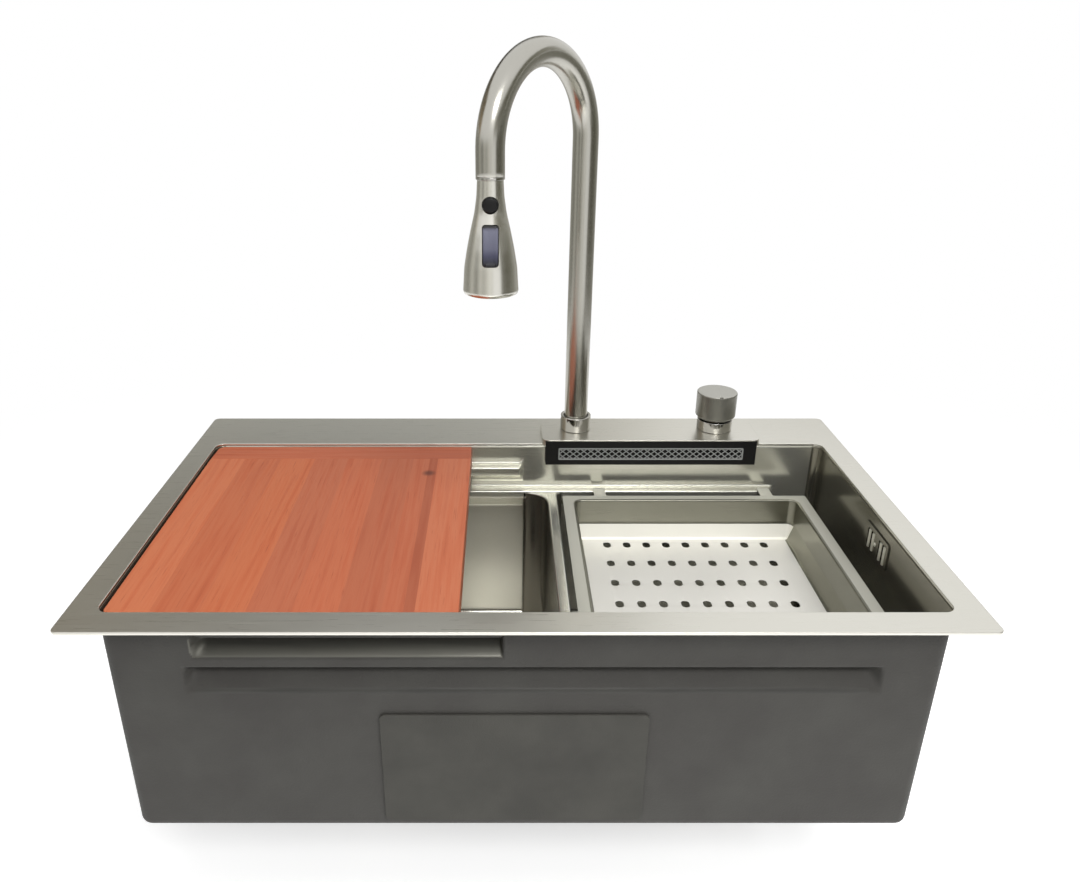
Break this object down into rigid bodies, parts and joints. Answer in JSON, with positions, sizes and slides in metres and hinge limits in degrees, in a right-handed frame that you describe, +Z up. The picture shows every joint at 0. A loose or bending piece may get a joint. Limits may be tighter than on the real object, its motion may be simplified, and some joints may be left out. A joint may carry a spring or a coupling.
{
  "type": "workstation kitchen sink",
  "caption": "Drop-in steel sink with divided tub, pressed ledges, sliding chopping board, hanging drain tray, waterfall outlet and pull-out gooseneck tap.",
  "frame": {"origin": "middle of the rim's rectangle, on the worktop surface that the rim's seal rests on", "axes": "+Z up, +X to the user's right, +Y away from the user towards the tap"},
  "size_m": [0.78, 0.46, 0.8373],
  "materials": {
    "brushed_steel": "brushed stainless steel",
    "tub_steel": "brushed inside, grey sound-deadening coat outside",
    "tap_steel": "fine brushed nickel",
    "polished_steel": "polished",
    "knob_grey": "gunmetal, satin",
    "sound_pad": "matt grey pad",
    "foam": "closed-cell foam",
    "rubber": "matt black",
    "black_plastic": "satin black",
    "grey_plastic": "satin grey",
    "rocker_plastic": "glossy blue-grey",
    "white_plastic": "satin white",
    "brass": "turned brass",
    "wood": "oiled red hardwood"
  },
  "bodies": {
    "sink": {"rim_deck": "brushed_steel", "rim_seal": "foam", "tub_wrap": "tub_steel", "tub_end_left": "tub_steel", "tub_end_right": "tub_steel", "divider": "brushed_steel", "pad_front": "sound_pad", "pad_rear": "sound_pad", "pad_left": "sound_pad", "pad_right": "sound_pad", "pad_floor": "sound_pad", "overflow_cover": "polished_steel", "overflow_housing": "black_plastic", "overflow_pipe": "grey_plastic", "left_drain_body": "brushed_steel", "left_drain_gasket": "rubber", "left_drain_nut": "white_plastic", "left_drain_tail": "white_plastic", "left_slip_nut": "white_plastic", "right_drain_body": "brushed_steel", "right_drain_gasket": "rubber", "right_drain_nut": "white_plastic", "right_drain_tail": "white_plastic", "right_slip_nut": "white_plastic", "tap_plate": "brushed_steel", "waterfall_outlet": "black_plastic", "waterfall_grille": "grey_plastic", "riser_collar": "polished_steel", "riser_shank": "brass", "riser_washer": "rubber", "riser_nut": "brass", "knob_collar": "polished_steel", "valve_cartridge": "brass", "valve_washer": "rubber", "valve_nut": "brass", "mixer_body": "brass", "cold_inlet": "brass", "hot_inlet": "brass"},
    "board": {"board_panel": "wood", "board_cleat": "wood"},
    "tray": {"drain_tray": "brushed_steel"},
    "left_strainer": {"left_strainer_basket": "polished_steel"},
    "right_strainer": {"right_strainer_basket": "polished_steel"},
    "spout": {"gooseneck": "tap_steel", "neck_hose": "rubber"},
    "hose_end": {"hose_dock": "polished_steel", "spray_hose": "rubber"},
    "spray": {"spray_head": "tap_steel", "spray_face": "grey_plastic"},
    "pause_button": {"pause_button": "black_plastic"},
    "mode_rocker": {"mode_rocker": "rocker_plastic"},
    "stem": {"valve_stem": "brass"},
    "knob": {"knob": "knob_grey"}
  },
  "joints": [
    {"name": "board_slide", "type": "slide", "parent": "sink", "child": "board", "axis": [1, 0, 0], "range_m": [0, 0.085]},
    {"name": "tray_lift", "type": "slide", "parent": "sink", "child": "tray", "axis": [0, 0, 1], "range_m": [0, 0.12]},
    {"name": "left_strainer_lift", "type": "slide", "parent": "sink", "child": "left_strainer", "axis": [0, 0, 1], "range_m": [0, 0.05]},
    {"name": "right_strainer_lift", "type": "slide", "parent": "sink", "child": "right_strainer", "axis": [0, 0, 1], "range_m": [0, 0.05]},
    {"name": "spout_swivel", "type": "hinge", "parent": "sink", "child": "spout", "pos_m": [0.07, 0.18, 0.013], "axis": [0, 0, 1], "continuous": true},
    {"name": "spray_pull", "type": "slide", "parent": "spout", "child": "hose_end", "axis": [0, 0, -1], "range_m": [0, 0.14], "stiffness_N_per_m": 10, "springref_m": -0.5, "deforming": ["spray_hose"]},
    {"name": "spray_turn", "type": "hinge", "parent": "hose_end", "child": "spray", "pos_m": [-0.03158, 0.0412, 0.27], "axis": [0, 0, 1], "continuous": true},
    {"name": "pause_press", "type": "slide", "parent": "spray", "child": "pause_button", "axis": [0, 1, 0], "range_m": [0, 0.0015], "stiffness_N_per_m": 400, "springref_m": -0.001},
    {"name": "mode_rock", "type": "hinge", "parent": "spray", "child": "mode_rocker", "pos_m": [-0.03158, 0.0219, 0.2677], "axis": [1, 0, 0], "range_deg": [-4, 4]},
    {"name": "knob_lift", "type": "slide", "parent": "sink", "child": "stem", "axis": [0, 0, 1], "range_m": [0, 0.008]},
    {"name": "knob_turn", "type": "hinge", "parent": "stem", "child": "knob", "pos_m": [0.241, 0.18, 0.04], "axis": [0, 0, 1], "range_deg": [-60, 60]}
  ]
}
